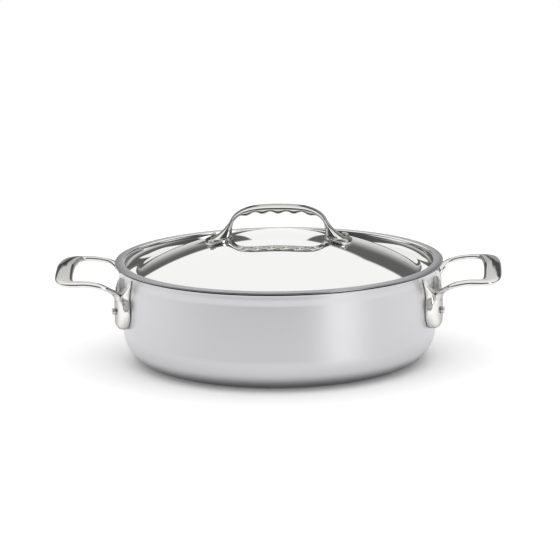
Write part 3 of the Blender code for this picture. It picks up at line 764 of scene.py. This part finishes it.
def foot_plate(side):
    """A foot of the bridge handle: an oval plate that follows the dome."""
    bridge = settings().bridge
    half = Vector(((BRIDGE_HIGH.x - bridge.leg_span / 2) / 2, BRIDGE_HIGH.y))
    centre_x = side * (bridge.leg_span / 2 + half.x)
    bm = bmesh.new()
    for vert in bmesh.ops.create_circle(bm, cap_ends=True, segments=72, radius=1.0)["verts"]:
        vert.co = Vector((centre_x + half.x * signed_power(vert.co.x, 0.8),
                          half.y * signed_power(vert.co.y, 0.8), 0.0))
    for k in range(-5, 6):
        for across in ((1, 0, 0), (0, 1, 0)):
            bmesh.ops.bisect_plane(bm, geom=bm.verts[:] + bm.edges[:] + bm.faces[:], plane_no=across,
                                   plane_co=(centre_x + k * half.x / 5.5, k * half.y / 5.5, 0))
    top = set(extrude(bm))
    for vert in bm.verts:
        rise = CLEARANCE + (bridge.foot_thickness if vert in top else 0.0)
        vert.co.z = dome_height(math.hypot(vert.co.x, vert.co.y)) + rise
    return bm


class PANFINISH_OT_bridge(bpy.types.Operator):
    """Sweep the lid's scalloped bridge handle and fuse it with its feet"""
    bl_idname = "panfinish.bridge"
    bl_label = "Lid Handle"

    def execute(self, context):
        handle = to_object("lid_bridge", sweep(bridge_sections(), 40, 0.77),
                           material_of("cast_mirror_steel"))
        for side in (-1, 1):
            cut(handle, foot_plate(side), "UNION")
        _, _, crease = dome_sphere()
        cap = dome_arc(-CLEARANCE, crease, 60)
        floor = cap[-1][1] - 0.02
        cut(handle, spin_profile(cap + [(crease, floor), (0.0, floor)], 180), "DIFFERENCE")
        cast_skin(handle, 0.00036, 6)
        stand_for(handle, "lid", "cast_steel", "lid_handle")
        return {"FINISHED"}


def horn_height(part):
    """Height of a foot's top, from the inner horn at part -1 to the outer horn at part 1."""
    loop = settings().loop
    return mix(loop.inner_horn, loop.outer_horn, (part + 1) / 2)


def foot_half_width(rise):
    """Half width of a foot at a part of the way from its lobe's middle to its top."""
    loop = settings().loop
    if rise <= 0:
        return loop.lobe_radius * math.sqrt(max(1 - rise ** 2, 0.0))
    if rise <= 0.45:
        return mix(loop.lobe_radius, loop.waist, ease(rise / 0.45))
    return mix(loop.waist, loop.horn_reach, ((rise - 0.45) / 0.55) ** 1.4)


def foot_thickness(part, height):
    """Thickness of a foot at a height and a part of its half width toward the outer horn."""
    loop = settings().loop
    fall = mix(loop.inner_fall, loop.outer_fall, (part + 1) / 2)
    below = quarter_round((height - loop.foot_bottom) / loop.crown_rise)
    above = (horn_height(part) - height) / fall
    above = mix(quarter_round(above), ease(above), (part + 1) / 2)
    edge = mix(loop.tip_thickness, loop.edge_thickness, above)
    crown = mix(edge, loop.crown_thickness, min(below, above))
    return edge + (crown - edge) * max(1 - abs(part) ** 3, 0.0) ** 0.4


def side_foot(azimuth):
    """A domed shield that hugs the wall, before its notch is cut."""
    loop = settings().loop
    bm = bmesh.new()
    bmesh.ops.create_grid(bm, x_segments=40, y_segments=90, size=1.0)
    outer = set(extrude(bm))
    lobe = loop.foot_bottom + loop.lobe_radius
    for vert in bm.verts:
        part = vert.co.x
        rise = 0.998 * math.sin(math.pi / 2 * vert.co.y)
        reach = loop.lobe_radius if rise <= 0 else horn_height(part) - lobe
        height = lobe + rise * reach
        spread = foot_half_width(rise) / settings().pan.wall_radius
        direction = azimuth + math.copysign(spread, azimuth) * part
        radius = wall_radius_at(height) + CLEARANCE
        if vert in outer:
            radius += foot_thickness(part, height)
        vert.co = Vector((radius * math.cos(direction), radius * math.sin(direction), height))
    bmesh.ops.remove_doubles(bm, verts=bm.verts, dist=0.00001)
    return bm


def notch_side(root, top):
    """One flaring side of the notch, as (across, height) points from its root past a horn's tip."""
    loop = settings().loop
    return [(mix(loop.notch_root, loop.notch_reach, 0.8 * part + 0.2 * part ** 5),
             mix(root, top, part)) for part in (0.2 + k / 12 for k in range(13))]


def notch_prism(azimuth):
    """A wedge with a rounded root and flaring sides that cuts a foot's notch."""
    loop = settings().loop
    root = loop.notch_bottom + loop.notch_root
    sides = [notch_side(root, loop.inner_horn), notch_side(root, loop.outer_horn)]
    if azimuth < 0:
        sides.reverse()
    outline = [(-across, height) for across, height in reversed(sides[0])]
    outline += arc((0.0, root), loop.notch_root, 200, 340, 8)
    outline += sides[1]
    bm = bmesh.new()
    near = 0.85 * settings().pan.wall_radius
    bm.faces.new([bm.verts.new((across, height, near)) for across, height in outline])
    bmesh.ops.translate(bm, verts=extrude(bm), vec=(0, 0, loop.reach - near))
    outward = Vector((math.cos(azimuth), math.sin(azimuth), 0))
    sideways = Vector((-outward.y, outward.x, 0))
    place = Matrix((sideways, UP, outward)).transposed().to_4x4()
    bmesh.ops.transform(bm, matrix=place, verts=bm.verts)
    return bm


# Stations along an arm, as shares of the way out, across and up from its root to the grip, and
# along half the grip, as metres in from its middle line and shares of the arm's distance.
ARM_STATIONS = ((0.0, 0.12, 0.0), (0.11, 0.53, 0.43), (0.245, 0.83, 0.745), (0.42, 0.90, 0.925),
                (0.56, 0.92, 0.99), (0.75, 1.0, 1.0), (0.880, 0.80, 1.0), (0.952, 0.22, 1.0))
ARM_HEEL = (-0.105, -0.22)
GRIP_STATIONS = ((0.0009, 0.63), (0.0002, 0.31), (0.0, 0.0))


def loop_keys():
    """Key points along half a side handle's loop, from the foot to the grip's middle."""
    loop = settings().loop
    grip_x = loop.reach - loop.grip_width / 2
    arm_y = (loop.width - loop.arm_width) / 2
    grip_z = loop.top_height - loop.grip_thickness / 2
    foot_radius = settings().pan.wall_radius + CLEARANCE + loop.crown_thickness
    root_x = foot_radius * math.cos(loop.root_azimuth)
    root_y = foot_radius * math.sin(loop.root_azimuth)
    heel = min(loop.notch_bottom, loop.root_height) - loop.arm_thickness / 2
    keys = [Vector((mix(root_x, grip_x, ARM_HEEL[0]), mix(root_y, arm_y, ARM_HEEL[1]), heel))]
    keys += [Vector((mix(root_x, grip_x, out), mix(root_y, arm_y, across),
                     mix(loop.root_height, grip_z, up))) for out, across, up in ARM_STATIONS]
    return keys + [Vector((grip_x - inset, along * arm_y, grip_z)) for inset, along in GRIP_STATIONS]


def curve_through(keys, count):
    """A smooth curve through key points, as count evenly spaced points."""
    padded = [2 * keys[0] - keys[1]] + keys + [2 * keys[-1] - keys[-2]]
    fine = []
    for a, b, c, d in zip(padded, padded[1:], padded[2:], padded[3:]):
        for step in range(24):
            t = step / 24
            fine.append(0.5 * (2 * b + (c - a) * t + (2 * a - 5 * b + 4 * c - d) * t ** 2
                               + (3 * b - a - 3 * c + d) * t ** 3))
    fine.append(keys[-1])
    return resample(fine, count)


GRIP_GROWTH = 0.28  # share of the loop's reach over which an arm grows into the grip
ROOT_LENGTH, ROOT_SWELL = 0.19, (0.15, 0.5)  # of an arm's thick root: its length, width and height


def grip_arch(along):
    """How far a side grip arches up at a distance from its middle."""
    loop = settings().loop
    return loop.grip_crown * max(1 - (abs(along) / loop.crown_reach) ** 1.3, 0.0)


def loop_sections():
    """The loop's sections for sweep, from the rear foot to the front foot."""
    loop = settings().loop
    path = curve_through(loop_keys(), 120)
    grip_x = loop.reach - loop.grip_width / 2
    half = []
    for k, point in enumerate(path):
        last = k == len(path) - 1
        tangent = Vector((0, -1, 0)) if last else (path[k + 1] - path[max(k - 1, 0)]).normalized()
        grown = ease(1 - (grip_x - point.x) / (GRIP_GROWTH * (grip_x - path[0].x)))
        swell = 1 - ease(k / (ROOT_LENGTH * len(path)))
        half_width = mix(loop.arm_width, loop.grip_width, grown) / 2 * (1 + ROOT_SWELL[0] * swell)
        half_height = (mix(loop.arm_thickness, loop.grip_thickness, grown) / 2
                       * (1 + ROOT_SWELL[1] * swell))
        turn = Matrix.Rotation(-loop.arm_cant * (1 - grown), 3, tangent)
        level = tangent.cross(UP).normalized()
        side, up = turn @ level, turn @ level.cross(tangent).normalized()
        half.append((point + up * grip_arch(point.y) * grown, side * half_width, up * half_height,
                     up * scallop(point.y) * grown, side * loop.undercut * grown))
    flip = Vector((1, -1, 1))
    return half + [[axis * flip for axis in section] for section in reversed(half[:-1])]


def side_handle():
    """The right side handle, cast in one piece with its two feet."""
    loop = settings().loop
    handle = to_object("side_loop_right", sweep(loop_sections(), 32, 0.8),
                       material_of("cast_mirror_steel"))
    for azimuth in (-loop.foot_azimuth, loop.foot_azimuth):
        foot = to_object("foot", side_foot(azimuth))
        cut(foot, notch_prism(azimuth), "DIFFERENCE")
        bm = bmesh.new()
        bm.from_mesh(foot.data)
        bpy.data.objects.remove(foot)
        cut(handle, bm, "UNION")
    cast_skin(handle, 0.00045, 8)
    return handle


class PANFINISH_OT_side_handles(bpy.types.Operator):
    """Cast both side handles; the left one is the right one turned half round"""
    bl_idname = "panfinish.side_handles"
    bl_label = "Side Handles"

    def execute(self, context):
        right = side_handle()
        left = add_object("side_loop_left", right.data.copy())
        left.data.transform(Matrix.Rotation(math.pi, 4, "Z"))
        stand_for(right, "pan", "cast_steel", "side_handle_right")
        stand_for(left, "pan", "cast_steel", "side_handle_left")
        return {"FINISHED"}


def rivet_profile(kind, low, high):
    """The section of a "side" or "lid" rivet, whose heads close on all between low and high."""
    sizes = settings().rivets
    shank = sizes.shank_radius
    inner_radius, inner_height, head_radius, head_height = (
        getattr(sizes, f"{kind}_{size}") for size in ("inner_radius", "inner_height", "head_radius",
                                                      "head_height"))
    low_face, high_face = low - CLEARANCE, high + CLEARANCE
    bottom, top = low_face - inner_height, high_face + head_height
    inner_edge, edge = 0.4 * inner_height, 0.3 * head_height
    return ([(0.0, bottom)]
            + arc((inner_radius - inner_edge, bottom + inner_edge), inner_edge, -90, 0, 6)
            + [(inner_radius, low_face), (shank, low_face)]
            + [(shank, high_face), (head_radius, high_face)]
            + arc((head_radius - edge, top - edge), edge, 0, 90, 8) + [(0.0, top)])


def lid_rivet_place(x, y):
    """A frame on the dome's outer face, with Z along its normal."""
    _, centre, _ = dome_sphere()
    point = Vector((x, y, dome_height(math.hypot(x, y))))
    turn = UP.rotation_difference((point - UP * centre).normalized())
    return Matrix.Translation(point) @ turn.to_matrix().to_4x4()


def side_rivet_place(azimuth):
    """A frame on the wall's outer face, with Z pointing outward."""
    outward = Vector((math.cos(azimuth), math.sin(azimuth), 0))
    point = outward * settings().pan.wall_radius + UP * settings().rivets.side_height
    return Matrix.Translation(point) @ outward.to_track_quat("Z", "Y").to_matrix().to_4x4()


def add_rivet(kind, spot, profile, place, body):
    """Spin one rivet and set it in place; it keeps the plain steel of the solid it stands for."""
    bm = spin_profile(profile, RIVET_STEPS)
    bmesh.ops.transform(bm, matrix=place, verts=bm.verts)
    rivet = to_object(f"{kind}_pin_{spot}", bm, bpy.data.materials["rivet_steel"])
    rivet.data.set_sharp_from_angle(angle=math.radians(50))
    stand_for(rivet, body, "rivet_steel", f"{kind}_rivet_{spot}")


class PANFINISH_OT_rivets(bpy.types.Operator):
    """Set the rivets of the side handles and of the lid handle"""
    bl_idname = "panfinish.rivets"
    bl_label = "Rivets"

    def execute(self, context):
        sizes, pan = settings().rivets, settings().pan
        sag = pan.wall_radius - math.sqrt(pan.wall_radius ** 2 - sizes.side_inner_radius ** 2)
        side = rivet_profile("side", -pan.wall_thickness - sag,
                             CLEARANCE + foot_thickness(0.0, sizes.side_height))
        top = rivet_profile("lid", -settings().lid.sheet,
                            CLEARANCE + settings().bridge.foot_thickness)
        spots = [(f"{name}_{row}", turn, way, across)
                 for name, turn, way in (("right", 0.0, 1), ("left", math.pi, -1))
                 for row, across in (("front", -1), ("rear", 1))]
        for spot, turn, way, across in spots:
            azimuth = turn + across * way * settings().loop.foot_azimuth
            add_rivet("side", spot, side, side_rivet_place(azimuth), "pan")
        for spot, _, way, across in spots:
            place = lid_rivet_place(way * sizes.lid_x, across * sizes.lid_y)
            add_rivet("lid", spot, top, place, "lid")
        return {"FINISHED"}


# Where the studio's lights lie. A turn is measured in degrees from behind the pan toward its right,
# a rise in degrees above the horizon, and a depth in metres toward the back.
PANEL_BACK, PANEL_BACK_MOST, PANEL_CLIMB, PANEL_FRONT = 18.7, 27.5, 0.66, 78.0
SHEET_TURN, SHEET_HALF, SHEET_TAPER, SHEET_RISE = -1.65, 3.45, 0.27, (-7.0, 60.0)
STRIPS = (-1.93, 1.52)
LAMP_TURN, LAMP_RISE = (116.0, 142.0), (-20.0, 57.0)
POOL_TURN, POOL_DEPTH, FADE_DEPTH = (136.0, 153.0), (-0.38, -0.18), (-0.80, -0.42)


def ray_kinds(tree):
    """Signals that are 1 for camera rays, for glossy rays and for rays through glass."""
    path = tree.nodes.new("ShaderNodeLightPath")
    return [Signal(path, f"Is {kind} Ray") for kind in ("Camera", "Glossy", "Transmission")]


def paper_material():
    """White paper that keeps the pan's shadow, lifted to white where the camera or metal sees it.

    Metal sees a painted pool of light on it at the right front, and painted shade far in front of
    the pan.
    """
    stage = settings().stage
    material = bpy.data.materials.new("floor_paper")
    material.use_nodes = True
    tree = material.node_tree
    tree.nodes.remove(tree.nodes["Principled BSDF"])
    camera, glossy, glass = ray_kinds(tree)
    _, (across, depth, _) = coordinates(tree)
    turn = across.math("ARCTAN2", depth) * DEGREES
    pool = between(turn, *POOL_TURN, 7.0) * ramp(depth, *POOL_DEPTH, stage.pool, 0.0)
    fade = (pool - ramp(depth, *FADE_DEPTH, 0.78, 0.05)) * glossy + 1.0
    seen = camera.math("MAXIMUM", glossy).math("MAXIMUM", glass)
    both = tree.nodes.new("ShaderNodeAddShader")
    for side, shader in enumerate((
            node_on(tree, "ShaderNodeBsdfDiffuse", Color=shade(stage.floor, fade)),
            node_on(tree, "ShaderNodeEmission", Strength=seen * stage.floor_lift))):
        plug(Signal(shader), both.inputs[side])
    fill(tree.nodes["Material Output"], Surface=Signal(both))
    return material


def studio_light(x, y, z):
    """Brightness of the studio in a direction, as polished metal sees it.

    A lamp panel overhead ends above a dim gap behind the pan and in front of it. A narrow white
    sheet hangs right behind the pan between two dark strips, and one tall lamp stands at the right
    front.
    """
    rise = z.math("ARCSINE") * DEGREES
    turn = x.math("ARCTAN2", y) * DEGREES
    right = (turn + 0.5).math("MAXIMUM", 0.0)
    front = ramp(turn.math("ABSOLUTE"), 70.0, 125.0, 0.0, 1.0)
    back_edge = (right * PANEL_CLIMB + PANEL_BACK).math("MINIMUM", PANEL_BACK_MOST)
    panel = ramp(rise - blend(back_edge, PANEL_FRONT, front), -1.0, 1.0, 0.0, 1.0)
    taper = (rise - 6.0).math("MINIMUM", 0.0) * SHEET_TAPER
    across = (turn - SHEET_TURN).math("DIVIDE", (taper + SHEET_HALF).math("MAXIMUM", 0.02))
    lowered = rise - (right * 0.35).math("MINIMUM", 3.0)
    gap = blend(ramp(lowered, 0.0, 15.0, 0.68, 0.12), 0.12, between(across, *STRIPS, 0.08))
    room = blend(blend(gap, ramp(rise, -2.0, 8.0, 0.60, 0.06), front), 1.0, panel)
    lamp = between(turn, *LAMP_TURN, 4.0) * between(rise, *LAMP_RISE, 3.0) * 1.9
    sheet = between(across, -1.0, 1.0, 0.05) * between(rise, *SHEET_RISE, 1.0) * 0.97
    return room.math("MAXIMUM", lamp).math("MAXIMUM", sheet)


def build_world():
    """White for the camera, soft light from above for lighting, and the studio for metal."""
    stage = settings().stage
    world = bpy.data.worlds.new("studio")
    bpy.context.scene.world = world
    world.use_nodes = True
    camera, glossy, glass = ray_kinds(world.node_tree)
    _, (x, y, z) = coordinates(world.node_tree, "Generated")
    front = ramp(y, -0.95, -0.35, 1.0, 0.0) * between(z, 0.05, 0.45, 0.05)
    soft = ramp(z, 0.30, 0.80, stage.lamp_low, stage.lamp_high) + front * stage.lamp_front
    light = blend(soft, studio_light(x, y, z), glossy)
    fill(world.node_tree.nodes["Background"], Color=(1.0, 1.0, 1.0, 1.0),
         Strength=blend(light, 1.0, camera.math("MAXIMUM", glass)))


def build_camera():
    """The photograph's view: a long lens, a little above the rim."""
    stage = settings().stage
    data = bpy.data.cameras.new("camera")
    data.lens = stage.lens
    data.sensor_width = 36.0
    data.shift_x = 0.5 - stage.image_x
    data.shift_y = stage.image_y - 0.5
    data.clip_end = 50.0
    camera = add_object("camera", data)
    camera.matrix_world = (Matrix.Translation(UP * stage.look_height)
                           @ Matrix.Rotation(stage.azimuth, 4, "Z")
                           @ Matrix.Rotation(math.pi / 2 - stage.elevation, 4, "X")
                           @ Matrix.Translation(UP * stage.distance)
                           @ Matrix.Rotation(-stage.roll, 4, "Z"))
    bpy.context.scene.camera = camera


class PANFINISH_OT_stage(bpy.types.Operator):
    """Lay the paper floor, light the studio and set the camera"""
    bl_idname = "panfinish.stage"
    bl_label = "Studio"

    def execute(self, context):
        bm = bmesh.new()
        bmesh.ops.create_grid(bm, x_segments=1, y_segments=1, size=FLOOR_REACH)
        far = [vert for vert in bm.verts if vert.co.y > 0]
        bmesh.ops.translate(bm, verts=far, vec=(0, settings().stage.floor_depth - FLOOR_REACH, 0))
        bmesh.ops.translate(bm, verts=bm.verts, vec=(0, 0, PAN_LOW.z - CLEARANCE))
        floor = to_object("floor", bm, paper_material())
        build_world()
        build_camera()
        context.scene.view_settings.view_transform = "Standard"
        return {"FINISHED"}


def group(kind):
    """A pointer to a group of settings."""
    return bpy.props.PointerProperty(type=kind, description=kind.__doc__.rstrip("."))


@named
class SautePanSettings(bpy.types.PropertyGroup):
    """All settings of the pan and its studio."""
    pan: group(PanSizes)
    lid: group(LidSizes)
    bridge: group(BridgeSizes)
    loop: group(LoopSizes)
    rivets: group(RivetSizes)
    steel: group(SteelFinish)
    stage: group(StageSetting)


STEPS = (PANFINISH_OT_vessel, PANFINISH_OT_lid, PANFINISH_OT_bridge, PANFINISH_OT_side_handles,
         PANFINISH_OT_rivets, PANFINISH_OT_stage)


class PANFINISH_PT_panel(bpy.types.Panel):
    """Lists the steps and the settings"""
    bl_idname = "PANFINISH_PT_panel"
    bl_label = "Saute Pan"
    bl_space_type = "VIEW_3D"
    bl_region_type = "UI"
    bl_category = "Saute Pan"

    def draw(self, context):
        for step in STEPS:
            self.layout.operator(step.bl_idname)
        for part in SautePanSettings.__annotations__:
            box = self.layout.box()
            values = getattr(settings(), part)
            for key in type(values).__annotations__:
                box.prop(values, key)


CLASSES = (PanSizes, LidSizes, BridgeSizes, LoopSizes, RivetSizes, SteelFinish, StageSetting,
           SautePanSettings) + STEPS + (PANFINISH_PT_panel,)


def register():
    for cls in CLASSES:
        bpy.utils.register_class(cls)
    bpy.types.Scene.saute_pan = bpy.props.PointerProperty(type=SautePanSettings)


def unregister():
    del bpy.types.Scene.saute_pan
    for cls in reversed(CLASSES):
        bpy.utils.unregister_class(cls)


def main():
    register()
    bpy.ops.panfinish.vessel()
    bpy.ops.panfinish.lid()
    bpy.ops.panfinish.bridge()
    bpy.ops.panfinish.side_handles()
    bpy.ops.panfinish.rivets()
    bpy.ops.panfinish.stage()


if __name__ == "__main__":
    main()
